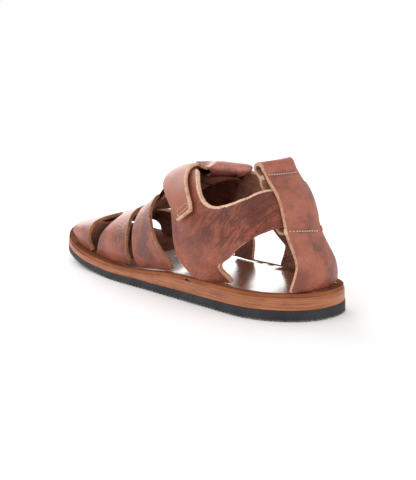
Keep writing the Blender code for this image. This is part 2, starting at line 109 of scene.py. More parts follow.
def bevel_edges(item: bpy.types.Object, wanted: Callable[[bmesh.types.BMEdge], bool],
                width: float, segments: int, profile: float, material: int = -1) -> None:
    """Bevel the edges that a rule picks.

    Args:
        item: The object.
        wanted: Tells whether an edge is taken.
        width: The bevel's width.
        segments: How many rows of faces it has.
        profile: How full it is; 0.5 is round.
        material: The material slot of its faces; -1 is that of the faces beside it.
    """
    with editing(item):
        bpy.ops.mesh.select_all(action="DESELECT")
        bpy.ops.mesh.select_mode(type="EDGE")
        bm = bmesh.from_edit_mesh(item.data)
        bm.normal_update()
        for edge in bm.edges:
            edge.select = wanted(edge)
        bmesh.update_edit_mesh(item.data)
        bpy.ops.mesh.bevel(offset=width * MM, segments=segments, profile=profile,
                           affect="EDGES", clamp_overlap=True, material=material)


def name_active(name: str) -> bpy.types.Object:
    """Name the active object, such as a primitive that was just added.

    Args:
        name: The object's and the mesh's name.

    Returns:
        The active object.
    """
    item = bpy.context.object
    item.name = name
    item.data.name = name
    return item


def apply_modifier(item: bpy.types.Object, name: str, kind: str, **settings: object) -> None:
    """Add a modifier to an object and apply it at once.

    Args:
        item: The object that takes the modifier.
        name: The modifier's name.
        kind: Blender's modifier type.
        **settings: Values set on the modifier.
    """
    activate(item)
    modifier = item.modifiers.new(name, kind)
    for key, value in settings.items():
        setattr(modifier, key, value)
    bpy.ops.object.modifier_apply(modifier=modifier.name)


def smooth_step(value: float) -> float:
    """Ease a value from 0 to 1."""
    value = max(0.0, min(1.0, value))
    return value * value * (3.0 - 2.0 * value)


def fade(gap: float) -> float:
    """A soft bump that is 1 at no gap and fades out over a gap of 1."""
    return math.exp(-gap * gap)


def lay_copies(model: bpy.types.Object, places: Sequence[Matrix], name: str,
               material: str) -> bpy.types.Object:
    """Copy a model to its places, each copy with its own mesh, and join the copies.

    Args:
        model: The model, which is removed at the end.
        places: Where each copy goes.
        name: The joined object's name.
        material: The name of its finish.

    Returns:
        The joined object, at the origin.
    """
    copies = []
    for place in places:
        copy = model.copy()
        copy.data = model.data.copy()
        bpy.context.scene.collection.objects.link(copy)
        copy.matrix_world = place
        copies.append(copy)
    bpy.data.objects.remove(model)
    deselect()
    for copy in copies:
        copy.select_set(True)
    bpy.context.view_layer.objects.active = copies[0]
    bpy.ops.object.join()
    joined = name_active(name)
    bpy.ops.object.transform_apply(location=True, rotation=True, scale=True)
    joined.data.materials.clear()
    joined.data.materials.append(MATERIALS[material])
    return joined


def settle(item: bpy.types.Object, replaced: Sequence[str] = ()) -> None:
    """Hand a finished piece to the frame.

    Args:
        item: The finished piece, in place in its mesh.
        replaced: The CAD nodes that the piece stands for.
    """
    deselect()
    if replaced:
        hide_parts(*replaced)
    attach(item, BODY)
    LOG.info("%s: %d faces", item.name, len(item.data.polygons))


# ------------------------------------------------------------------ node trees
class Tree:
    """A thin helper that adds and links shader nodes."""

    def __init__(self, tree: bpy.types.NodeTree) -> None:
        """Keep the tree that nodes are added to."""
        self.tree = tree

    def feed(self, target: Socket, value: Value) -> None:
        """Link a socket to an input, or set a number, vector or colour on it.

        Args:
            target: The input.
            value: What it takes; a colour for a colour input may have three numbers.
        """
        if isinstance(value, Socket):
            self.tree.links.new(value, target)
        elif target.type == "RGBA":
            target.default_value = (*value[:3], 1.0)
        else:
            target.default_value = value

    def fill(self, node: bpy.types.Node, inputs: dict) -> None:
        """Feed several inputs of a node, by their names or numbers."""
        for key, value in inputs.items():
            self.feed(node.inputs[key], value)

    def add(self, kind: str, inputs: Optional[dict] = None,
            **settings: object) -> bpy.types.Node:
        """Add a node.

        Args:
            kind: The node type without the ShaderNode prefix.
            inputs: What each input takes, by its name or number.
            **settings: Plain properties of the node.

        Returns:
            The new node.
        """
        node = self.tree.nodes.new(kind if kind.startswith("Node") else "ShaderNode" + kind)
        for key, value in settings.items():
            setattr(node, key, value)
        self.fill(node, inputs or {})
        return node

    def math(self, operation: str, first: Value, second: Value, clamp: bool = False) -> Socket:
        """The result of a maths node on sockets or numbers."""
        return self.add("Math", {0: first, 1: second}, operation=operation,
                        use_clamp=clamp).outputs[0]

    def times(self, first: Value, second: Value) -> Socket:
        """The product of two values."""
        return self.math("MULTIPLY", first, second)

    def plus(self, first: Value, second: Value, clamp: bool = False) -> Socket:
        """The sum of two values."""
        return self.math("ADD", first, second, clamp)

    def blend(self, first: Value, second: Value, share: float) -> Socket:
        """Two values added with weights that make 1; `share` is the second one's."""
        return self.plus(self.times(first, 1.0 - share), self.times(second, share))

    def inverse(self, value: Value) -> Socket:
        """One less the value, kept between 0 and 1."""
        return self.math("SUBTRACT", 1.0, value, clamp=True)

    def ramp(self, value: Socket, low: float, high: float) -> Socket:
        """A value eased from 0 at `low` to 1 at `high`."""
        return self.add("MapRange", {"Value": value, "From Min": low, "From Max": high},
                        interpolation_type="SMOOTHSTEP").outputs["Result"]

    def mix(self, factor: Value, first: Value, second: Value) -> Socket:
        """Two colours mixed by a factor; the second one shows at 1."""
        return self.add("Mix", {0: factor, 6: first, 7: second}, data_type="RGBA").outputs[2]

    def noise(self, vector: Socket, scale: Value, detail: float, rough: float,
              distortion: float = 0.0) -> Socket:
        """A noise texture's value; `rough` is how strong its fine octaves are."""
        return self.add("TexNoise", {"Vector": vector, "Scale": scale, "Detail": detail,
                                     "Roughness": rough, "Distortion": distortion}).outputs["Fac"]

    def stretched(self, vector: Socket, scale: tuple, turn: tuple = (0.0, 0.0, 0.0)) -> Socket:
        """The vector scaled and turned by a Mapping node."""
        return self.add("Mapping", {"Vector": vector, "Rotation": turn,
                                    "Scale": scale}).outputs["Vector"]

    def painted(self, name: str) -> Socket:
        """The value painted on the piece under a name."""
        return self.add("Attribute", attribute_type="GEOMETRY", attribute_name=name).outputs["Fac"]

    def bumped(self, height: Socket, strength: float, distance: float) -> Socket:
        """The normal of a height; `distance` is in metres."""
        return self.add("Bump", {"Height": height, "Strength": strength,
                                 "Distance": distance}).outputs["Normal"]


def make_group(name: str, inputs: Iterable[str], outputs: Iterable[str]) -> tuple:
    """Start a shader node group with float sockets; a name that starts with Vector is a vector.

    Args:
        name: The group's name.
        inputs: Names of the inputs.
        outputs: Names of the outputs.

    Returns:
        The group's helper, its input node and its output node.
    """
    group = bpy.data.node_groups.new(name, "ShaderNodeTree")
    for direction, names in (("INPUT", inputs), ("OUTPUT", outputs)):
        for socket in names:
            kind = "NodeSocketVector" if socket.startswith("Vector") else "NodeSocketFloat"
            group.interface.new_socket(name=socket, in_out=direction, socket_type=kind)
    helper = Tree(group)
    return helper, helper.add("NodeGroupInput"), helper.add("NodeGroupOutput")


def start_material(name: str) -> tuple:
    """Start a material.

    Args:
        name: The material's name.

    Returns:
        The material, its tree's helper, its shader and the position on the piece.
    """
    made = bpy.data.materials.new(name)
    made.use_nodes = True
    t = Tree(made.node_tree)
    shader = made.node_tree.nodes["Principled BSDF"]
    return made, t, shader, t.add("TexCoord").outputs["Object"]


def leather_grain_group() -> None:
    """Make the group that turns a position into leather mottle and grain height."""
    warp_scale, warp_reach = 60.0, 0.004
    t, start, end = make_group(
        GRAIN_GROUP, ("Vector", "Mottle Scale", "Pebble Scale", "Pebble Depth"),
        ("Mottle", "Clouds", "Pebble", "Pores", "Height"))
    spot = start.outputs["Vector"]
    warp = t.add("TexNoise", {"Vector": spot, "Scale": warp_scale, "Detail": 2.0})
    offset = t.add("VectorMath", {0: warp.outputs["Color"], "Scale": warp_reach},
                   operation="SCALE")
    warped = t.add("VectorMath", {0: spot, 1: offset.outputs[0]}, operation="ADD").outputs[0]

    def grain_noise(source: str, factor: float, detail: float, rough: float) -> Socket:
        """A noise at a multiple of one of the group's own scales."""
        return t.noise(warped, t.times(start.outputs[source], factor), detail, rough)

    clouds = grain_noise("Mottle Scale", 1.0, 3.0, 0.55)
    patches = grain_noise("Mottle Scale", 2.7, 4.0, 0.6)
    cell = t.add("TexVoronoi", feature="SMOOTH_F1")
    t.fill(cell, {"Vector": warped, "Scale": start.outputs["Pebble Scale"], "Smoothness": 0.4})
    pebble = t.ramp(cell.outputs["Distance"], 0.1, 0.75)
    fine = grain_noise("Pebble Scale", 2.2, 3.0, 0.6)
    pores = t.ramp(grain_noise("Pebble Scale", 5.0, 2.0, 0.5), 0.35, 0.65)
    height = t.math("SUBTRACT", t.times(fine, 0.5), t.times(pebble, start.outputs["Pebble Depth"]))
    t.fill(end, {"Mottle": t.ramp(t.blend(clouds, patches, 0.4), 0.36, 0.64), "Clouds": clouds,
                 "Pebble": pebble, "Pores": pores, "Height": t.plus(height, t.times(pores, 0.08))})


@dataclass(frozen=True)
class GrainFinish:
    """The waxed grain side of pull-up leather; it folds and dulls where worn is painted, with
    painted shade in the folds and hollows.
    """

    name: str
    dark: tuple
    middle: tuple
    light: tuple
    roughness: float = 0.42
    pebble_depth: float = 0.5
    bump: float = 0.25
    bump_distance: float = 0.0006
    coat: float = 0.3
    shine: float = 0.5
    blotch: float = 0.44
    mottle_scale: float = 52.0
    pebble_scale: float = 520.0
    streak_scale: float = 240.0
    streak_stretch: tuple = (1.0, 0.35, 1.0)
    streak_turn: tuple = (0.4, 0.2, 0.6)
    streak_shade: float = 0.34
    # Painted shade in the pebble grain's hollows and in the folds.
    pebble_painted_shade: float = 0.40
    fold_painted_shade: float = 0.80
    fold_height: float = 1.8
    fold_along: tuple = (0.0, -0.64, 0.77)
    fold_across: tuple = (0.0, 0.77, 0.64)
    fold_scales: tuple = (95.0, 350.0)

    def folds(self, t: Tree, spot: Socket) -> Socket:
        """Fine folds that run up and back, where the leather has been flexed.

        Args:
            t: The material's tree.
            spot: The position on the piece.

        Returns:
            A mask that is 0 in the folds and 1 between them.
        """
        place = t.add("CombineXYZ")
        for axis, direction, scale in zip("XY", (self.fold_along, self.fold_across),
                                          self.fold_scales):
            dot = t.add("VectorMath", {0: spot, 1: direction}, operation="DOT_PRODUCT")
            t.fill(place, {axis: t.times(dot.outputs["Value"], scale)})
        return t.ramp(t.noise(place.outputs["Vector"], 1.0, 2.0, 0.55, 0.6), 0.40, 0.53)

    def material(self) -> bpy.types.Material:
        """Build the material.

        Returns:
            The grain-side material.
        """
        made, t, shader, spot = start_material(self.name)
        grain = t.add("Group", node_tree=bpy.data.node_groups[GRAIN_GROUP])
        t.fill(grain, {"Vector": spot, "Mottle Scale": self.mottle_scale,
                       "Pebble Scale": self.pebble_scale, "Pebble Depth": self.pebble_depth})
        mottle, clouds, pebble, pores, height = grain.outputs[:5]
        worn = t.painted("worn")
        level = t.plus(t.times(t.math("SUBTRACT", mottle, 0.5), self.blotch), t.painted("tone"),
                       clamp=True)
        colour = t.mix(t.ramp(level, 0.0, 0.5), self.dark, self.middle)
        colour = t.mix(t.ramp(level, 0.5, 1.0), colour, self.light)
        streak = t.noise(t.stretched(spot, self.streak_stretch, self.streak_turn),
                         self.streak_scale, 4.0, 0.65)
        folds, folded = self.folds(t, spot), t.ramp(worn, 0.3, 0.85)
        # The colour darkens along the streaks, and with painted shade in the pebble grain's
        # hollows and in the folds.
        for shade in (t.times(t.ramp(streak, 0.38, 0.72), self.streak_shade),
                      t.times(t.times(pebble, worn), self.pebble_painted_shade),
                      t.times(t.inverse(folds), t.times(folded, self.fold_painted_shade))):
            colour = t.mix(shade, colour, self.dark)
        rise = t.plus(t.times(height, t.plus(t.times(worn, 1.6), 0.4)),
                      t.times(folds, t.times(folded, self.fold_height)))
        t.fill(shader, {
            "Base Color": t.mix(t.times(pores, 0.10), colour, self.light),
            "Roughness": t.plus(t.plus(t.times(clouds, 0.22), self.roughness - 0.11),
                                t.times(worn, 0.25)),
            "Coat Weight": t.times(t.inverse(worn), self.coat), "Coat Roughness": 0.28,
            "Specular IOR Level": self.shine,
            "Normal": t.bumped(rise, self.bump, self.bump_distance)})
        return made


@dataclass(frozen=True)
class FibreFinish:
    """Unfinished leather, the flesh side or a raw cut edge; cream shows where pale is painted."""

    name: str
    dark: tuple
    light: tuple
    cream: tuple
    roughness: float
    scale: float
    bump: float
    bump_distance: float = 0.0004

    def material(self) -> bpy.types.Material:
        """Build the material.

        Returns:
            The fibrous material.
        """
        made, t, shader, spot = start_material(self.name)
        nap = t.noise(spot, self.scale, 4.0, 0.7)
        level = t.blend(nap, t.noise(spot, self.scale * 0.12, 3.0, 0.6), 0.4)
        colour = t.mix(t.ramp(level, 0.36, 0.66), self.dark, self.light)
        share = t.math("MULTIPLY", t.painted("pale"), t.ramp(level, 0.25, 0.6), clamp=True)
        t.fill(shader, {"Base Color": t.mix(share, colour, self.cream),
                        "Roughness": self.roughness,
                        "Normal": t.bumped(nap, self.bump, self.bump_distance)})
        return made


@dataclass(frozen=True)
class StackFinish:
    """Sole leather, the streaked cut side or the footbed; tone darkens it, as burnish and as
    painted shade, and worn dulls it.
    """

    name: str
    dark: tuple
    middle: tuple
    light: tuple
    roughness: float = 0.5
    coat: float = 0.2
    streak_height: float = 1400.0
    streak_length: float = 22.0
    patch_scale: float = 70.0
    patch_shade: float = 0.55
    fine_scale: float = 1500.0
    bump: float = 0.3
    bump_distance: float = 0.0004
    shine: float = 0.5

    def material(self) -> bpy.types.Material:
        """Build the material.

        Returns:
            The streaked material.
        """
        made, t, shader, spot = start_material(self.name)
        layers = (self.streak_length, self.streak_length, self.streak_height)
        streak = t.noise(t.stretched(spot, layers), 1.0, 4.0, 0.65, 0.3)
        patch = t.noise(t.stretched(spot, (1.0, 1.0, 3.0)), self.patch_scale, 4.0, 0.6)
        colour = t.mix(t.ramp(streak, 0.3, 0.52), self.dark, self.middle)
        colour = t.mix(t.ramp(streak, 0.5, 0.72), colour, self.light)
        colour = t.mix(t.times(t.ramp(patch, 0.42, 0.75), self.patch_shade), colour, self.dark)
        dull = t.painted("worn")
        rise = t.plus(streak, t.times(t.noise(spot, self.fine_scale, 2.0, 0.6), 0.4))
        t.fill(shader, {
            "Base Color": t.mix(t.painted("tone"), colour, self.dark),
            "Roughness": t.plus(t.plus(t.times(patch, 0.25), self.roughness - 0.12),
                                t.times(dull, 0.5), clamp=True),
            "Coat Weight": t.times(t.inverse(dull), self.coat), "Coat Roughness": 0.2,
            "Specular IOR Level": self.shine,
            "Normal": t.bumped(rise, self.bump, self.bump_distance)})
        return made


@dataclass(frozen=True)
class PlainFinish:
    """Rubber, thread or tape: one colour broken by a fine noise."""

    name: str
    dark: tuple
    light: tuple
    roughness: float
    scale: float
    bump: float
    bump_distance: float = 0.0003
    cloud_scale: float = 60.0

    def material(self) -> bpy.types.Material:
        """Build the material.

        Returns:
            The material.
        """
        made, t, shader, spot = start_material(self.name)
        crumb = t.noise(spot, self.scale, 4.0, 0.7)
        level = t.blend(crumb, t.noise(spot, self.cloud_scale, 3.0, 0.5), 0.4)
        t.fill(shader, {"Base Color": t.mix(t.ramp(level, 0.35, 0.68), self.dark, self.light),
                        "Roughness": self.roughness,
                        "Normal": t.bumped(crumb, self.bump, self.bump_distance)})
        return made


FINISHES = (
    GrainFinish("grain", (0.13, 0.024, 0.014), (0.39, 0.095, 0.046), (0.62, 0.23, 0.125),
                bump=0.85, coat=0.22),
    GrainFinish("smooth_grain", (0.15, 0.034, 0.018), (0.37, 0.096, 0.046), (0.54, 0.175, 0.090),
                roughness=0.5, pebble_depth=0.2, bump=0.16, coat=0.10, blotch=0.34),
    # Its light colour, reached on the tongue loop's top through the tone patches, is a painted
    # highlight.
    GrainFinish("tongue_grain", (0.055, 0.013, 0.009), (0.23, 0.058, 0.038), (0.66, 0.24, 0.185),
                roughness=0.38, pebble_depth=0.2, bump=0.12, coat=0.25, blotch=0.12),
    GrainFinish("lining_grain", (0.050, 0.013, 0.009), (0.15, 0.042, 0.027), (0.28, 0.09, 0.06),
                roughness=0.75, pebble_depth=0.2, bump=0.3, coat=0.0, shine=0.1),
    FibreFinish("flesh", (0.085, 0.030, 0.020), (0.32, 0.125, 0.080), (0.62, 0.30, 0.21),
                roughness=0.95, scale=700.0, bump=0.6),
    FibreFinish("raw_edge", (0.20, 0.062, 0.026), (0.58, 0.235, 0.105), (0.95, 0.62, 0.42),
                roughness=0.8, scale=900.0, bump=1.0),
    StackFinish("sole_side", (0.22, 0.056, 0.022), (0.53, 0.172, 0.056), (0.72, 0.31, 0.115)),
    StackFinish("footbed_top", (0.19, 0.060, 0.027), (0.62, 0.24, 0.105), (0.68, 0.31, 0.16),
                roughness=0.22, coat=0.7, streak_height=300.0, bump=0.05),
    StackFinish("dull_footbed", (0.095, 0.027, 0.016), (0.66, 0.26, 0.12), (0.72, 0.33, 0.165),
                roughness=0.6, coat=0.0, streak_height=300.0, bump=0.05, shine=0.08),
    PlainFinish("rubber", (0.012, 0.012, 0.014), (0.045, 0.046, 0.052), 0.8, 1400.0, 0.7),
    # The tread's light specks are painted light: they stand for the bright floor seen between the
    # teeth.
    PlainFinish("tread", (0.016, 0.016, 0.018), (0.34, 0.29, 0.26), 0.9, 900.0, 0.7),
    PlainFinish("thread", (0.62, 0.44, 0.28), (0.95, 0.78, 0.56), 0.8, 2500.0, 0.5),
    PlainFinish("hook_tape", (0.012, 0.016, 0.022), (0.050, 0.062, 0.080), 0.95, 3000.0, 0.9),
)
MATERIALS: dict = {}


def make_materials() -> None:
    """Build the shared group and every finish."""
    leather_grain_group()
    MATERIALS.update({finish.name: finish.material() for finish in FINISHES})


# ------------------------------------------------------------------ leather pieces
@dataclass(frozen=True)
class Patch:
    """A soft patch of lighter, more worn or paler leather; negative values do the opposite."""

    place: tuple
    radius: float
    tone: float = 0.0
    worn: float = 0.0
    pale: float = 0.0

    def weight(self, spot: Vector) -> float:
        """How strongly the patch acts at a spot."""
        return fade((spot - Vector(self.place)).length / self.radius)


@dataclass(frozen=True)
class Crease:
    """A soft trough or ridge pressed into the leather along a line.

    `through` is the way it is pressed, so a curved wall between its ends is still met.
    """

    start: tuple
    finish: tuple
    width: float
    height: float
    through: tuple

    def rise(self, spot: Vector) -> float:
        """Height of the crease at a spot, fading out at both ends.

        Args:
            spot: The place on the leather.

        Returns:
            The height, less than zero in a trough.
        """
        first, last = Vector(self.start), Vector(self.finish)
        run = last - first
        share = (spot - first).dot(run) / run.length_squared
        if not 0.0 < share < 1.0:
            return 0.0
        apart = spot - first - run * share
        through = Vector(self.through)
        gap = (apart - through * apart.dot(through)).length / self.width
        return self.height * (1.0 - (2.0 * share - 1.0) ** 4) * fade(gap) if gap < 3.0 else 0.0


@dataclass(frozen=True)
class Pull:
    """A soft move of everything near a place, as with proportional editing."""

    place: tuple
    radius: float
    move: tuple

    def shift(self, spot: Vector) -> Vector:
        """How far a spot moves."""
        return Vector(self.move) * fade((spot - Vector(self.place)).length / self.radius)


MERGE_GAP = 0.02
QUAD_BEND, QUAD_SKEW = math.radians(50.0), math.radians(80.0)
BORDER_PROFILE = 0.6
RIM_FACING = 0.3
WAVE_SCALE = 0.035
EDGE_FRAY = ((0.9, 0.14), (0.3, 0.10))
CLOUD_SCALE, CLOUD_TONE = 0.03, 0.12
# How much painted shade a crease's trough gets, per millimetre of its depth.
CREASE_SHADE_TONE = 0.5


@dataclass
class LeatherPiece:
    """A strap or panel: its solid copied, merged, edges rounded, smoothed and dressed.

    `core` is the middle of a piece that is wound up; others face away from the foot's own line
    from `heel` to `toe`. `wall` is the greatest thickness that counts as a wall, `wave` the
    height of its unevenness, and `rim` the width of raw leather shown beside the cut edges that
    face `rim_toward` and lie higher than `rim_above`. Two faces are opposite where the dot
    product of their normals is under `opposed`; a side runs on over bends up to `region_bend`.
    """

    node: str
    name: str
    core: tuple = ()
    slot: str = "upper_leather"
    grain: str = "grain"
    wall: float = 4.3
    rounding: float = 0.55
    levels: int = 2
    wave: float = 0.25
    tone: float = 0.5
    worn: float = 0.35
    pale: float = 0.3
    rim: float = 0.0
    rim_above: float = 0.0
    rim_toward: tuple = (0.0, -1.0, 0.0)
    patches: tuple = ()
    creases: tuple = ()
    pulls: tuple = ()
    heel: tuple = (-5.0, -95.0, 50.0)
    toe: tuple = (-3.0, 120.0, 8.0)
    opposed: float = -0.6
    region_bend: float = math.radians(45.0)
    border_bend: float = math.radians(28.0)
    item: bpy.types.Object = field(init=False, default=None)

    def copy_solid(self) -> None:
        """Copy the CAD solid's mesh, merge its loose triangles and make them quads."""
        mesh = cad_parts[self.node].data.copy()
        mesh.materials.clear()
        self.item = bpy.data.objects.new(self.name, mesh)
        mesh.name = self.name
        bpy.context.scene.collection.objects.link(self.item)
        with editing(self.item):
            bpy.ops.mesh.remove_doubles(threshold=MERGE_GAP * MM)
            bpy.ops.mesh.tris_convert_to_quads(face_threshold=QUAD_BEND,
                                               shape_threshold=QUAD_SKEW)

    def broad_faces(self) -> list:
        """Find the faces of the wall's two broad sides.

        Returns:
            For each face, whether the wall's other side lies straight behind it.
        """
        mesh = self.item.data
        tree = BVHTree.FromPolygons([vert.co for vert in mesh.vertices],
                                    [tuple(polygon.vertices) for polygon in mesh.polygons])
        broad = []
        for polygon in mesh.polygons:
            start = polygon.center - polygon.normal * 0.01 * MM
            _, behind, _, _ = tree.ray_cast(start, -polygon.normal, self.wall * MM)
            broad.append(behind is not None and behind.dot(polygon.normal) < self.opposed)
        return broad

    def facing(self, face: bmesh.types.BMFace) -> float:
        """Tell how much of a face's area looks away from the foot or the piece's core.

        Args:
            face: The face.

        Returns:
            The area that looks outwards, less than zero where it looks inwards.
        """
        centre = face.calc_center_median()
        if self.core:
            inner = Vector(self.core)
        else:
            heel, toe = Vector(self.heel), Vector(self.toe)
            share = (centre.y / MM - heel.y) / (toe.y - heel.y)
            inner = heel.lerp(toe, max(0.0, min(1.0, share)))
        return face.normal.dot((centre - inner * MM).normalized()) * face.calc_area()

    def flood(self, seed: bmesh.types.BMFace, broad: list, seen: set) -> list:
        """Gather the broad faces that join a face without a sharp bend.

        Args:
            seed: The first face.
            broad: For each face, whether it is broad.
            seen: Numbers of the faces that are gathered already; it grows.

        Returns:
            The faces of the region.
        """
        region, stack = [], [seed]
        seen.add(seed.index)
        while stack:
            face = stack.pop()
            region.append(face)
            for edge in face.edges:
                if len(edge.link_faces) != 2 or edge.calc_face_angle(3.0) > self.region_bend:
                    continue
                for other in edge.link_faces:
                    if other.index not in seen and broad[other.index]:
                        seen.add(other.index)
                        stack.append(other)
        return region

    def sort_sides(self) -> None:
        """Give each face its side: broad regions that face outwards are grain, others flesh."""
        broad = self.broad_faces()
        bm = bmesh.new()
        bm.from_mesh(self.item.data)
        edge_side = Side.EDGE.value
        for face in bm.faces:
            face.material_index = edge_side
        seen: set = set()
        for seed in bm.faces:
            if seed.index not in seen and broad[seed.index]:
                region = self.flood(seed, broad, seen)
                outward = sum(self.facing(face) for face in region) > 0.0
                for face in region:
                    face.material_index = (Side.GRAIN if outward else Side.FLESH).value
        soft = [edge for edge in bm.edges if len(edge.link_faces) == 2
                and edge.calc_face_angle(3.0) <= self.border_bend]
        grown = True
        while grown:
            grown = False
            for edge in soft:
                one, two = edge.link_faces
                for face, other in ((one, two), (two, one)):
                    if face.material_index == edge_side != other.material_index:
                        face.material_index = other.material_index
                        grown = True
        bm.to_mesh(self.item.data)
        bm.free()

    def round_edges(self) -> None:
        """Bevel the sharp edges of the wall."""
        def on_border(edge: bmesh.types.BMEdge) -> bool:
            """Whether a cut edge meets a broad side."""
            sides = {face.material_index for face in edge.link_faces}
            return len(sides) == 2 and Side.EDGE.value in sides

        bevel_edges(self.item, on_border, self.rounding, 2, BORDER_PROFILE, Side.EDGE.value)

    def lighten_rim(self) -> None:
        """Turn a narrow rim of the grain side along some cut edges into raw leather."""
        mesh = self.item.data
        look = Vector(self.rim_toward).normalized()
        cuts = [polygon for polygon in mesh.polygons
                if polygon.material_index == Side.EDGE.value
                and polygon.normal.dot(look) > RIM_FACING
                and polygon.center.z > self.rim_above * MM]
        tree = KDTree(len(cuts))
        for number, polygon in enumerate(cuts):
            tree.insert(polygon.center, number)
        tree.balance()
        for polygon in mesh.polygons:
            if polygon.material_index == Side.GRAIN.value:
                _, _, gap = tree.find(polygon.center)
                if gap < self.rim * MM:
                    polygon.material_index = Side.EDGE.value

    def sides_of_points(self) -> list:
        """Tell each point's side; a cut edge wins over flesh, and flesh over grain.

        Returns:
            The side of each point.
        """
        sides = [Side.GRAIN] * len(self.item.data.vertices)
        for polygon in self.item.data.polygons:
            for index in polygon.vertices:
                if polygon.material_index == Side.EDGE.value:
                    sides[index] = Side.EDGE
                elif polygon.material_index == Side.FLESH.value and sides[index] is Side.GRAIN:
                    sides[index] = Side.FLESH
        return sides

    def carve(self) -> None:
        """Move points for waves, rough cut edges, creases and pulls."""
        mesh = self.item.data
        normals = [Vector(normal.vector) for normal in mesh.vertex_normals]
        for vert, normal, side in zip(mesh.vertices, normals, self.sides_of_points()):
            spot = vert.co / MM
            move = noise.noise(spot * WAVE_SCALE) * self.wave
            if side is Side.EDGE:
                move += sum(noise.noise(spot * scale) * height for scale, height in EDGE_FRAY)
            elif side is Side.GRAIN:
                move += sum(crease.rise(spot) for crease in self.creases)
            vert.co += (normal * move + sum((pull.shift(spot) for pull in self.pulls),
                                            Vector())) * MM

    def paint(self) -> None:
        """Paint tone, wear and paleness from the piece's even values and its patches, with painted
        shade in the creases' troughs.
        """
        mesh = self.item.data
        layers = [mesh.attributes.new(name, "FLOAT", "POINT") for name in ("tone", "worn", "pale")]
        for vert in mesh.vertices:
            spot = vert.co / MM
            folds = sum(crease.rise(spot) for crease in self.creases)
            clouds = noise.noise(spot * CLOUD_SCALE) * CLOUD_TONE
            # Painted shade: the tone darkens in the creases' troughs.
            values = [self.tone + clouds + CREASE_SHADE_TONE * folds, self.worn, self.pale]
            for patch in self.patches:
                weight = patch.weight(spot)
                for k, change in enumerate((patch.tone, patch.worn, patch.pale)):
                    values[k] += change * weight
            for layer, value in zip(layers, values):
                layer.data[vert.index].value = max(0.0, min(1.0, value))

    def build(self) -> None:
        """Make the piece from its solid."""
        self.copy_solid()
        self.sort_sides()
        self.round_edges()
        apply_modifier(self.item, "soft", "SUBSURF", levels=self.levels,
                       render_levels=self.levels, use_creases=False)
        if self.rim:
            self.lighten_rim()
        self.carve()
        self.paint()
        for name in (self.grain, "flesh", "raw_edge"):
            self.item.data.materials.append(MATERIALS[name])
        activate(self.item)
        bpy.ops.object.shade_smooth()
        settle(self.item, (self.node,))


# ------------------------------------------------------------------ sole
@dataclass
class SoleOutline:
    """The sole's edge read from a solid, in metres: borders and heights by station along Y."""

    node: str
    steps: int = 4
    start: float = field(init=False, default=0.0)
    finish: float = field(init=False, default=0.0)
    left: list = field(init=False, default_factory=list)
    right: list = field(init=False, default_factory=list)
    heights: list = field(init=False, default_factory=list)

    def __post_init__(self) -> None:
        """Read the ring of the solid and smooth it with a curve through its corners."""
        columns: dict = {}
        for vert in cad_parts[self.node].data.vertices:
            key = (round(vert.co.x, 5), round(vert.co.y, 5))
            columns.setdefault(key, []).append(vert.co.z)
        centre_y = sum(key[1] for key in columns) / len(columns)
        ring = sorted(columns, key=lambda key: math.atan2(key[0], key[1] - centre_y))
        rows = [(x, y, min(columns[(x, y)]), max(columns[(x, y)])) for x, y in ring]
        fine = []
        for i in range(len(rows)):
            corners = [rows[(i + k) % len(rows)] for k in (-1, 0, 1, 2)]
            for step in range(self.steps):
                u = step / self.steps
                fine.append(tuple(
                    0.5 * (2 * b + (c - a) * u + (2 * a - 5 * b + 4 * c - d) * u * u
                           + (3 * b - a - 3 * c + d) * u ** 3)
                    for a, b, c, d in zip(*corners)))
        low = min(fine, key=lambda row: row[1])
        high = max(fine, key=lambda row: row[1])

        def axis(y: float) -> float:
            """Where the line from heel tip to toe tip crosses a station."""
            return low[0] + (high[0] - low[0]) * (y - low[1]) / (high[1] - low[1])

        self.left = sorted((row[1], row[0]) for row in fine if row[0] <= axis(row[1]))
        self.right = sorted((row[1], row[0]) for row in fine if row[0] >= axis(row[1]))
        self.heights = sorted((row[1], row[2], row[3]) for row in fine)
        self.start, self.finish = low[1], high[1]

    def stand_on(self, node: str) -> None:
        """Reach down to the top of another solid."""
        other = SoleOutline(node)
        self.heights = [(y, other.high(y), high) for y, _, high in self.heights]

    @staticmethod
    def read(rows: Sequence[tuple], y: float, column: int = 1) -> float:
        """Read a sorted table between its rows.

        Args:
            rows: The table; each row starts with its station.
            y: The station.
            column: Which value of the row is read.

        Returns:
            The value at the station.
        """
        place = bisect_right(rows, y, key=lambda row: row[0])
        if place in (0, len(rows)):
            return rows[min(place, len(rows) - 1)][column]
        before, after = rows[place - 1], rows[place]
        share = (y - before[0]) / (after[0] - before[0])
        return before[column] + (after[column] - before[column]) * share

    def station(self, share: float) -> float:
        """The station at a share that runs from -1 at the heel to 1 at the toe."""
        return (self.start + self.finish) / 2.0 + (self.finish - self.start) / 2.0 * share

    def edges(self, y: float) -> tuple:
        """Left and right border at a station."""
        return self.read(self.left, y), self.read(self.right, y)

    def low(self, y: float) -> float:
        """Height of the layer's lower face."""
        return self.read(self.heights, y, 1)

    def high(self, y: float) -> float:
        """Height of the layer's upper face."""
        return self.read(self.heights, y, 2)


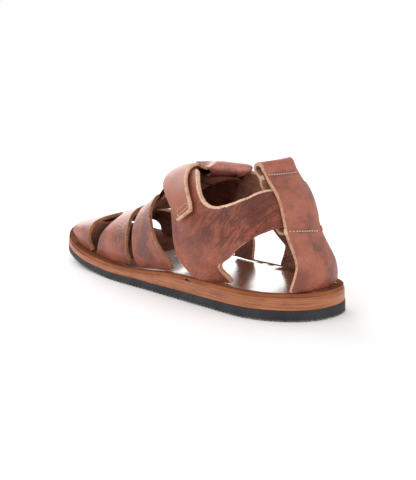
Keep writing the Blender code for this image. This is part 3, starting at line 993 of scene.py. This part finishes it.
@dataclass
class SoleLayer:
    """One layer of the sole, modelled as a warped grid that is extruded to a slab.

    `drop` sinks the lower face into the layer below. `burnish` darkens the cut side's upper
    edge, and `rim` is the width of a dull, dark rim on the upper face: partly a burnished edge,
    partly painted shade under the strap bases that stand on it. `strap_foot_shadows` lists
    places and radii of painted shadow on the upper face where the straps stand. The upper face
    turns dull from the station `dull_from` towards the toe, and a painted shadow lies on it
    further on: `shadow_in` and `shadow_out` say how far on it starts and stops, and over what
    length.
    """

    node: str
    name: str
    side_material: str
    top_material: str
    slot: str
    under: str = ""
    replaced: tuple = ()
    rows: int = 150
    columns: int = 22
    rounding: float = 0.45
    reach: float = 0.9998
    flat: float = 0.6
    wave: float = 0.22
    wave_scales: tuple = (0.08, 0.08, 0.6)
    drop: float = 0.35
    burnish: float = 0.0
    burnish_depth: float = 0.55
    rim: float = 0.0
    rim_depth: float = 0.35
    # Darkness of the rim and of the painted shadow where the straps stand.
    rim_and_shadow_tone: float = 0.60
    strap_foot_shadows: tuple = ()
    dull_material: str = ""
    dull_from: float = 200.0
    dull_length: float = 45.0
    shadow_tone: float = 0.85
    shadow_in: tuple = (50.0, 25.0)
    shadow_out: tuple = (88.0, 10.0)
    item: bpy.types.Object = field(init=False, default=None)

    def model_slab(self, outline: SoleOutline) -> None:
        """Warp a grid to the outline and extrude it to the upper face.

        Args:
            outline: The layer's outline.
        """
        deselect()
        bpy.ops.mesh.primitive_grid_add(x_subdivisions=self.columns, y_subdivisions=self.rows,
                                        size=2.0)
        self.item = name_active(self.name)
        for vert in self.item.data.vertices:
            y = outline.station(math.sin(vert.co.y * math.pi / 2.0) * self.reach)
            left, right = outline.edges(y)
            share = 0.5 + 0.5 * math.sin(vert.co.x * math.pi / 2.0)
            vert.co = (left + (right - left) * share, y, outline.low(y) - self.drop * MM)
        far = 1.0
        with editing(self.item):
            bpy.ops.mesh.extrude_region_move(TRANSFORM_OT_translate={"value": (0.0, 0.0, far)})
        for vert in self.item.data.vertices:
            if vert.co.z > far / 2.0:
                vert.co.z = outline.high(vert.co.y)
        with editing(self.item):
            bpy.ops.mesh.normals_make_consistent(inside=False)

    def round_border(self) -> None:
        """Give the upper face its own material and bevel the slab's two borders."""
        def on_border(edge: bmesh.types.BMEdge) -> bool:
            """Whether the cut side meets a flat face at an edge."""
            sides = [abs(face.normal.z) > self.flat for face in edge.link_faces]
            return len(sides) == 2 and sides[0] != sides[1]

        for polygon in self.item.data.polygons:
            polygon.material_index = 1 if polygon.normal.z > self.flat else 0
        bevel_edges(self.item, on_border, self.rounding, 3, 0.5)

    def shading(self, spot: Vector, rise: float, inset: float) -> tuple:
        """Tell how dull and how dark the layer is at a spot.

        Args:
            spot: The spot.
            rise: How far it lies below the upper face.
            inset: How far it lies inside the border.

        Returns:
            The worn value and the tone value.
        """
        # The rim's darkening is partly burnish, partly painted shade under the strap bases.
        border = 1.0 - smooth_step(inset / self.rim - 0.3) if self.rim else 0.0
        shade = border if rise < self.rim_depth else 0.0
        # Painted shadow where the straps stand on the layer.
        for x, y, radius in self.strap_foot_shadows:
            shade = max(shade, fade(math.hypot(spot.x - x, spot.y - y) / radius))
        past = spot.y - self.dull_from
        begun, ended = (smooth_step((past - start) / length)
                        for start, length in (self.shadow_in, self.shadow_out))
        # Painted shadow on the upper face towards the toe.
        shadow = self.shadow_tone * begun * (1.0 - ended)
        return (max(smooth_step(past / self.dull_length), shade, border),
                max(self.burnish * fade(rise / self.burnish_depth), shadow, self.rim_and_shadow_tone * shade))

    def finish_surface(self, outline: SoleOutline) -> None:
        """Make the cut side slightly uneven and paint the layer.

        Args:
            outline: The layer's outline.
        """
        mesh = self.item.data
        tone = mesh.attributes.new("tone", "FLOAT", "POINT")
        worn = mesh.attributes.new("worn", "FLOAT", "POINT")
        stretch = Vector(self.wave_scales)
        normals = [Vector(normal.vector) for normal in mesh.vertex_normals]
        for vert, normal in zip(mesh.vertices, normals):
            spot = vert.co / MM
            if abs(normal.z) < 0.9:
                vert.co += normal * (noise.noise(spot * stretch) * self.wave * MM)
            left, right = outline.edges(vert.co.y)
            inset = min(vert.co.x - left, right - vert.co.x, vert.co.y - outline.start,
                        outline.finish - vert.co.y) / MM
            rise = (outline.high(vert.co.y) - vert.co.z) / MM
            worn.data[vert.index].value, tone.data[vert.index].value = self.shading(
                spot, rise, inset)
        if self.dull_material:
            for face in mesh.polygons:
                share = sum(worn.data[index].value for index in face.vertices) / len(face.vertices)
                if face.normal.z > 0.3 and share > 0.5:
                    face.material_index = 2

    def build(self) -> None:
        """Model and dress the layer."""
        outline = SoleOutline(self.node)
        if self.under:
            outline.stand_on(self.under)
        self.model_slab(outline)
        self.round_border()
        self.finish_surface(outline)
        for name in (self.side_material, self.top_material, self.dull_material):
            if name:
                self.item.data.materials.append(MATERIALS[name])
        activate(self.item)
        bpy.ops.object.shade_smooth_by_angle(angle=math.radians(50.0))
        settle(self.item, (self.node,) + self.replaced)


@dataclass
class Tread:
    """The fine saw-cut tread that shows along the rubber's lower border.

    `chamfer` is a share of the tooth's size.
    """

    pitch: float = 3.4
    tooth: float = 1.9
    width: float = 1.6
    depth: float = 1.3
    chamfer: float = 0.16
    inset: float = 0.75
    lift: float = 0.02
    tip_zone: float = 15.0
    reach: float = 0.9995
    length_jitter: float = 0.4
    depth_jitter: float = 0.25
    stations: int = 1600

    def model_tooth(self) -> bpy.types.Object:
        """Model one tooth: a block with chamfered edges.

        Returns:
            The tooth, standing on its foot with its length along X.
        """
        deselect()
        bpy.ops.mesh.primitive_cube_add(size=1.0)
        tooth = name_active("tooth")
        with editing(tooth):
            bpy.ops.transform.translate(value=(0.0, 0.0, 0.5))
            bpy.ops.mesh.bevel(offset=self.chamfer, segments=1, affect="EDGES")
            bpy.ops.transform.resize(value=(self.tooth * MM, self.width * MM, self.depth * MM),
                                     center_override=(0.0, 0.0, 0.0))
        return tooth

    def path(self) -> list:
        """Walk round the rubber's lower border.

        Returns:
            The points of the closed path.
        """
        outline = SoleOutline("outsole")
        points = []
        for k in range(self.stations):
            angle = 2.0 * math.pi * k / self.stations
            y = outline.station(math.cos(angle) * self.reach)
            left, right = outline.edges(y)
            points.append(Vector((right if math.sin(angle) > 0.0 else left, y, outline.low(y))))
        return points

    def places(self) -> list:
        """Space the teeth evenly along the path.

        Returns:
            The place, direction and size of each tooth.
        """
        path, found, travelled = self.path(), [], 0.0
        for here, after in zip(path, path[1:] + path[:1]):
            travelled += (after - here).length
            if travelled < self.pitch * MM:
                continue
            travelled = 0.0
            forward = (after - here).normalized()
            outward = Vector((-forward.y, forward.x, 0.0)).normalized()
            if outward.x * here.x < 0.0 and abs(here.x) > self.tip_zone * MM:
                outward.negate()
            jitter = noise.noise(Vector((len(found) * 0.7, 0.3, 0.1)))
            across = UP.cross(forward).normalized()
            turn = Matrix((across.cross(UP), across, UP)).transposed().to_4x4()
            size = Matrix.Diagonal((1.0 + self.length_jitter * jitter, 1.0,
                                    1.0 - self.depth_jitter * abs(jitter), 1.0))
            spot = here + (UP * self.lift - outward * self.inset) * MM
            found.append(Matrix.Translation(spot) @ turn @ size)
        return found

    def build(self) -> None:
        """Copy the tooth round the sole and join the copies."""
        settle(lay_copies(self.model_tooth(), self.places(), "tread", "tread"))


@dataclass
class ThroatLining:
    """The smooth lining under the tongue loop, arched over the foot and down the inner side.

    `heights` gives the arch's height by station, and `rear_edge` the rear border's station by
    the angle round the arch, in degrees.
    """

    name: str = "throat_lining"
    centre_x: float = -7.35
    base_z: float = 50.0
    half_width: float = 31.0
    thickness: float = 1.6
    rounding: float = 0.5
    first_angle: float = -6.0
    last_angle: float = 112.0
    front: float = 21.0
    tone: float = 0.25
    worn: float = 0.6
    columns: int = 40
    rows: int = 30
    heights: tuple = ((-52, 33), (-40, 32.5), (-22, 34.5), (-9, 33.5), (6, 24.5),
                      (21, 13))
    rear_edge: tuple = ((-6, -13), (0, -14), (16, -17), (30, -23), (45, -34),
                        (60, -44), (78, -51), (112, -46))

    @staticmethod
    def read(rows: Sequence[tuple], place: float) -> float:
        """Read a short table of pairs smoothly between its rows.

        Args:
            rows: The pairs.
            place: Where it is read.

        Returns:
            The value there.
        """
        for (first, low), (last, high) in zip(rows, rows[1:]):
            if place <= last:
                return low + (high - low) * smooth_step((place - first) / (last - first))
        return rows[-1][1]

    def model_arch(self) -> bpy.types.Object:
        """Bend a grid to the arch and give it a wall with rounded borders.

        Returns:
            The lining's shape.
        """
        deselect()
        bpy.ops.mesh.primitive_grid_add(x_subdivisions=self.columns, y_subdivisions=self.rows,
                                        size=2.0)
        item = name_active(self.name)
        for vert in item.data.vertices:
            u, v = 0.5 + vert.co.x / 2.0, 0.5 + vert.co.y / 2.0
            angle = self.first_angle + (self.last_angle - self.first_angle) * u
            rear = self.read(self.rear_edge, angle)
            y = rear + (self.front - rear) * v
            turn = math.radians(angle)
            vert.co = Vector((self.centre_x + self.half_width * math.cos(turn), y,
                              self.base_z + self.read(self.heights, y) * math.sin(turn))) * MM
        apply_modifier(item, "wall", "SOLIDIFY", thickness=self.thickness * MM, offset=0.0)
        with editing(item):
            bpy.ops.mesh.normals_make_consistent(inside=False)
        bevel_edges(item, lambda edge: edge.calc_face_angle(0.0) > math.radians(60.0),
                    self.rounding, 2, BORDER_PROFILE)
        return item

    def build(self) -> None:
        """Model and dress the lining."""
        item = self.model_arch()
        for name, value in (("tone", self.tone), ("worn", self.worn), ("pale", 0.0)):
            layer = item.data.attributes.new(name, "FLOAT", "POINT")
            for vert in item.data.vertices:
                layer.data[vert.index].value = value
        item.data.materials.append(MATERIALS["lining_grain"])
        activate(item)
        bpy.ops.object.shade_smooth_by_angle(angle=math.radians(40.0))
        settle(item)


# ------------------------------------------------------------------ threads
@dataclass
class Stitches:
    """A row of stitches lying on a leather piece, from one stitch modelled once.

    The stitches lie along the row, or wrap `across` it.
    """

    name: str
    on: str
    corners: tuple
    pitch: float = 2.3
    length: float = 1.35
    thickness: float = 0.9
    lift: float = 0.15
    across: bool = False

    def model_stitch(self) -> bpy.types.Object:
        """Model one stitch: a round body, thinner towards its two ends.

        Returns:
            The stitch, with its length along Z.
        """
        deselect()
        bpy.ops.mesh.primitive_uv_sphere_add(segments=10, ring_count=8, radius=0.5)
        stitch = name_active("stitch")
        with editing(stitch):
            bpy.ops.transform.resize(value=(self.thickness * MM, self.thickness * MM,
                                            self.length * MM))
        return stitch

    def places(self, leather: bpy.types.Object) -> list:
        """Find where each stitch lies.

        Args:
            leather: The piece that carries the row.

        Returns:
            The place and direction of each stitch.
        """
        found = []
        for start, finish in zip(self.corners, self.corners[1:]):
            first, last = Vector(start) * MM, Vector(finish) * MM
            along = (last - first).normalized()
            count = max(1, round((last - first).length / (self.pitch * MM)))
            for k in range(count):
                _, spot, normal, _ = leather.closest_point_on_mesh(
                    first.lerp(last, (k + 0.5) / count))
                side = normal.cross(along).normalized()
                run = side if self.across else side.cross(normal).normalized()
                turn = Matrix((run.cross(normal), normal, run)).transposed().to_4x4()
                found.append(Matrix.Translation(spot + normal * self.lift * MM) @ turn)
        return found

    def build(self) -> None:
        """Copy the stitch along the row and join the copies."""
        places = self.places(bpy.data.objects[self.on])
        row = lay_copies(self.model_stitch(), places, self.name, "thread")
        bpy.ops.object.shade_smooth()
        settle(row)


# ------------------------------------------------------------------ stage
@dataclass
class Studio:
    """Pale floor, soft light and the camera; the camera's angles are in degrees."""

    eye: tuple = (-530.35, -656.7, 230.4)
    azimuth: float = 38.85
    drop: float = 12.8
    roll: float = 0.036
    lens: float = 86.87
    shift: tuple = (0.0311, -0.0243)
    ambient: float = 0.68
    floor_colour: tuple = (0.985, 0.982, 0.982)
    floor_glow: float = 0.06

    def camera(self) -> None:
        """Place the camera; its roll is in radians."""
        data = bpy.data.cameras.new("camera")
        item = bpy.data.objects.new("camera", data)
        bpy.context.scene.collection.objects.link(item)
        a, e = math.radians(self.azimuth), math.radians(self.drop)
        ahead = Vector((math.sin(a) * math.cos(e), math.cos(a) * math.cos(e), -math.sin(e)))
        right = Vector((math.cos(a), -math.sin(a), 0.0))
        above = right.cross(ahead)
        c, s = math.cos(self.roll), math.sin(self.roll)
        turn = Matrix((right * c - above * s, above * c + right * s, -ahead)).transposed()
        item.matrix_world = Matrix.Translation(Vector(self.eye) * MM) @ turn.to_4x4()
        data.lens = self.lens
        data.sensor_width = 36.0
        data.shift_x, data.shift_y = self.shift
        data.clip_start, data.clip_end = 0.05, 50.0
        bpy.context.scene.camera = item

    def panel(self, name: str, place: tuple, size: tuple, power: float,
              target: tuple = (0.0, 0.0, 0.03)) -> None:
        """Add a soft light panel.

        Args:
            name: The light's name.
            place: Where it hangs, in metres.
            size: Its width and height in metres.
            power: Its power in watts.
            target: The point that it faces.
        """
        data = bpy.data.lights.new(name, "AREA")
        data.shape = "RECTANGLE"
        data.size, data.size_y = size
        data.energy = power
        item = bpy.data.objects.new(name, data)
        bpy.context.scene.collection.objects.link(item)
        item.location = place
        item.rotation_euler = (Vector(target) - Vector(place)).to_track_quat("-Z", "Y").to_euler()

    def floor(self) -> None:
        """Lay the pale floor."""
        deselect()
        bpy.ops.mesh.primitive_plane_add(size=3.0, location=(0.0, 0.0, -0.2 * MM))
        item = bpy.context.object
        item.name = "floor"
        bpy.ops.object.transform_apply(location=True)
        made = bpy.data.materials.new("floor")
        made.use_nodes = True
        Tree(made.node_tree).fill(made.node_tree.nodes["Principled BSDF"], {
            "Base Color": self.floor_colour, "Roughness": 0.9,
            "Emission Color": (1.0, 1.0, 1.0), "Emission Strength": self.floor_glow})
        item.data.materials.append(made)

    def sky(self) -> bpy.types.World:
        """Make the even light from all round; the camera and mirrored rays see it white.

        Returns:
            The world.
        """
        world = bpy.data.worlds.new("studio")
        world.use_nodes = True
        t = Tree(world.node_tree)
        path = t.add("LightPath")
        seen = t.math("MAXIMUM", path.outputs["Is Camera Ray"], path.outputs["Is Glossy Ray"])
        t.fill(world.node_tree.nodes["Background"], {
            "Color": (1.0, 1.0, 1.0),
            "Strength": t.plus(t.times(seen, 1.0 - self.ambient), self.ambient)})
        return world

    def build(self) -> None:
        """Set up the whole stage."""
        bpy.context.scene.view_settings.view_transform = "Standard"
        bpy.context.scene.world = self.sky()
        self.floor()
        self.panel("key", (-1.2, 0.6, 1.3), (1.4, 1.2), 6.0)
        self.panel("rear", (0.5, -1.7, 0.9), (1.4, 1.0), 8.0)
        self.panel("back", (0.25, 1.6, 0.95), (1.8, 0.9), 20.0)
        self.panel("glow", (1.1, 1.4, 0.40), (1.6, 0.7), 9.0)
        self.camera()


# ------------------------------------------------------------------ the sandal
def wrinkle_fan(count: int = 18) -> tuple:
    """Fine wrinkles that fan out over the rear half of the outer side panel.

    Args:
        count: How many wrinkles.

    Returns:
        The wrinkles, each a shallow trough.
    """
    low_first, low_last = Vector((-43.0, -84.0, 56.0)), Vector((-26.0, -112.0, 64.0))
    high_first, high_last = Vector((-40.0, -70.0, 70.0)), Vector((-24.0, -104.0, 80.0))
    fan = []
    for k in range(count):
        share = k / (count - 1)
        wobble = noise.noise(Vector((k * 1.7, 0.4, 0.2)))
        start = low_first.lerp(low_last, min(1.0, max(0.0, share + 0.05 * wobble)))
        finish = high_first.lerp(high_last, min(1.0, max(0.0, share * 0.95 + 0.06 * wobble)))
        start = start.lerp(finish, 0.22 * (0.5 + wobble))
        finish = finish.lerp(start, 0.25 * (0.5 - wobble))
        fan.append(Crease(tuple(start), tuple(finish), 0.9 + 0.3 * abs(wobble),
                          -0.22 - 0.1 * wobble, (-0.85, -0.52, 0.0)))
    return tuple(fan)


UPPER_PIECES = (
    LeatherPiece(
        "vamp", "vamp_bands", tone=0.30, worn=0.25, pale=0.12, rim=0.8,
        pulls=(Pull((12, 124, 29), 11, (1, 4, -4.5)), Pull((29, 116, 26), 8, (1, 4, -4.5))),
        patches=(
            Patch((-34, 103, 20), 9, tone=0.12), Patch((-45, 7, 33), 9, tone=-0.25),
            Patch((-43, 2, 45), 9, tone=-0.12), Patch((-44, 47, 25), 9, tone=0.15),
            Patch((-43, 37, 37), 9, tone=-0.12), Patch((-40, 88, 27), 9, tone=-0.12),
            Patch((-20, 70, 40), 16, tone=0.12))),
    LeatherPiece(
        "outer_quarter", "outer_side", levels=3, tone=0.36, worn=0.42, pale=0.45, rim=1.7,
        rim_above=19.5, rim_toward=(0, -0.5, 0.8), creases=wrinkle_fan(),
        pulls=(
            Pull((-39, -75, 26), 8, (0, 3.5, 0)), Pull((-42.3, -80.8, 41), 8, (0, -4, -1)),
            Pull((-41.7, -60, 18), 13, (-1.2, 0, -1)), Pull((-34.4, -79, 20.5), 6, (0, -4.5, 0)),
            Pull((-26.5, -35, 87), 8, (0.5, 0, 2.4))),
        patches=(
            Patch((-33, -98, 76), 12, tone=-0.30), Patch((-30, -103, 68), 17, worn=0.75),
            Patch((-42, -67, 51), 6, tone=-0.32), Patch((-44, -58, 43), 6, tone=-0.20),
            Patch((-40, -83, 58), 14, tone=0.10, worn=0.65), Patch((-43, -47, 54), 9, tone=0.10),
            Patch((-42, -60, 62), 14, worn=0.30), Patch((-39, -95, 52), 7, tone=0.18),
            Patch((-44, -49, 30), 9, tone=0.12), Patch((-42, -71, 33), 9, tone=0.10),
            Patch((-40, -62, 70), 14, pale=0.9), Patch((-38, -88, 80), 14, pale=0.9),
            Patch((-24, -100, 82), 12, pale=0.7), Patch((-30, -45, 85), 14, pale=0.9))),
    LeatherPiece(
        "inner_quarter", "inner_side", tone=0.34, pale=0.15,
        patches=(Patch((22, -50, 72), 20, pale=0.75),)),
    LeatherPiece(
        "tongue", "tongue_loop", core=(0, -36, 88), grain="tongue_grain", tone=0.55, worn=0.2,
        pale=0.2, pulls=(Pull((-16.3, -29.8, 96), 8, (2, -3, -5.5)),),
        patches=(
            # Painted shade: the loop's lower parts inside the shoe are darker; painted highlight:
            # the loop's top and near end are lighter.
            Patch((0, -38, 78), 12, tone=-0.3, worn=0.8),
            Patch((8, -12, 74), 16, tone=-0.35, worn=0.8),
            Patch((-15, -30, 93), 7, tone=0.15, worn=0.35), Patch((-8, -34, 94), 8, tone=0.30),
            Patch((0, -39, 93), 8, tone=0.35), Patch((9, -43, 90), 8, tone=0.40))),
    LeatherPiece(
        "closure_strap", "instep_strap", grain="smooth_grain", tone=0.36, worn=0.15, pale=0.85,
        rounding=0.9, rim=1.1,
        # The first patch lightens the strap's upper part as a painted highlight.
        patches=(Patch((-36, -32, 84), 12, tone=0.18), Patch((-45, -38, 66), 10, tone=0.05))),
    LeatherPiece(
        "hook_patch", "hook_tape_strip", slot="hook_tape", grain="hook_tape", wave=0.1,
        rounding=0.3, pale=0.0),
    LeatherPiece(
        "back_strap", "heel_strap", tone=0.44, worn=0.2, pale=0.55, rounding=0.75, rim=0.9,
        rim_toward=(-1, 0, 0.3), pulls=(Pull((-17.6, -95.5, 91.2), 3.6, (0, -2.6, 0)),),
        creases=(Crease((-21, -100.8, 93.5), (10, -102.8, 92), 1.8, -0.6, (0, 1, 0)),
                 Crease((-21, -120.8, 58.5), (10, -122.8, 55), 1.4, -0.4, (0, 1, 0))),
        patches=(
            Patch((-11, -112, 84), 10, tone=-0.10), Patch((-12, -122, 64), 7, tone=-0.16),
            Patch((-3, -132, 45), 7, tone=-0.18), Patch((4, -135, 27), 9, tone=-0.22),
            Patch((-19, -132, 40), 6, tone=0.15), Patch((-4, -118, 74), 8, tone=0.08))),
)

STITCH_ROWS = (
    Stitches("heel_loop_stitches", "heel_strap",
             ((-17.3, -100.9, 93.4), (-11.4, -102.3, 93.1), (-5.6, -102.9, 92.9),
              (0.8, -103, 92.5), (8.1, -102.2, 92))),
    Stitches("heel_strap_stitches", "heel_strap",
             ((-18.9, -120.7, 58.3), (-13.7, -122.8, 57.9), (-7.7, -124.2, 57.1),
              (-1.6, -124.6, 56.3), (5.7, -123.7, 54.9))),
    Stitches("loop_wraps", "heel_strap", ((-19, -96.5, 92.4), (-18.6, -98, 90)),
             pitch=0.8, across=True, length=2.8),
    Stitches("strap_wraps", "heel_strap", ((-21, -119.8, 60), (-21, -120.5, 56)),
             pitch=0.8, across=True, length=2.8),
    Stitches("far_strap_wraps", "heel_strap", ((12.5, -121, 57.5), (11.8, -121.5, 53.5)),
             pitch=0.8, across=True, length=2.6),
    Stitches("closure_stitches", "instep_strap",
             ((-43.7, -47, 71.2), (-44.4, -49.4, 69.6), (-47, -40.6, 61.3),
              (-45.5, -38.5, 65.4), (-43.7, -47, 71.2)), length=1.5, thickness=0.6),
)

SOLE_LAYERS = (
    SoleLayer("outsole", "rubber_sole", "rubber", "rubber", "rubber", rounding=0.5, drop=-1.2),
    SoleLayer("midsole", "midsole_stack", "sole_side", "sole_side", "sole_leather",
              under="outsole", replaced=("heel_lift",), rounding=0.25, burnish=0.5),
    SoleLayer("footbed", "footbed_top", "sole_side", "footbed_top", "footbed_leather",
              dull_material="dull_footbed", burnish=0.8, dull_from=20.0, rim=3.2,
              # Places of painted shadow where the straps stand on the footbed.
              strap_foot_shadows=((-41.7, -57.9, 6), (-39.3, -63.7, 6), (-37.4, -69.9, 5), (-25.6, -130.5, 6),
                    (-17.1, -133.9, 6), (-5.4, -136.1, 6), (4.3, -137.6, 6), (12, -137, 7),
                    (20, -131, 6), (20, -88, 7), (17, -78, 6), (23, -52, 7), (23, -62, 6))),
)


class Sandal:
    """The whole shoe, piece by piece."""

    def sole(self) -> None:
        """Build the sole's layers and the tread."""
        for layer in SOLE_LAYERS:
            layer.build()
        Tread().build()

    def upper(self) -> None:
        """Build the leather pieces, the lining and the threads."""
        for piece in UPPER_PIECES:
            piece.build()
        ThroatLining().build()
        for row in STITCH_ROWS:
            row.build()

    def build(self) -> None:
        """Build every sub-assembly in order."""
        make_materials()
        self.sole()
        self.upper()


def main() -> None:
    """Build the stage and the sandal."""
    logging.basicConfig(level=logging.INFO, format="%(name)s %(message)s")
    Studio().build()
    Sandal().build()


if __name__ == "__main__":
    main()
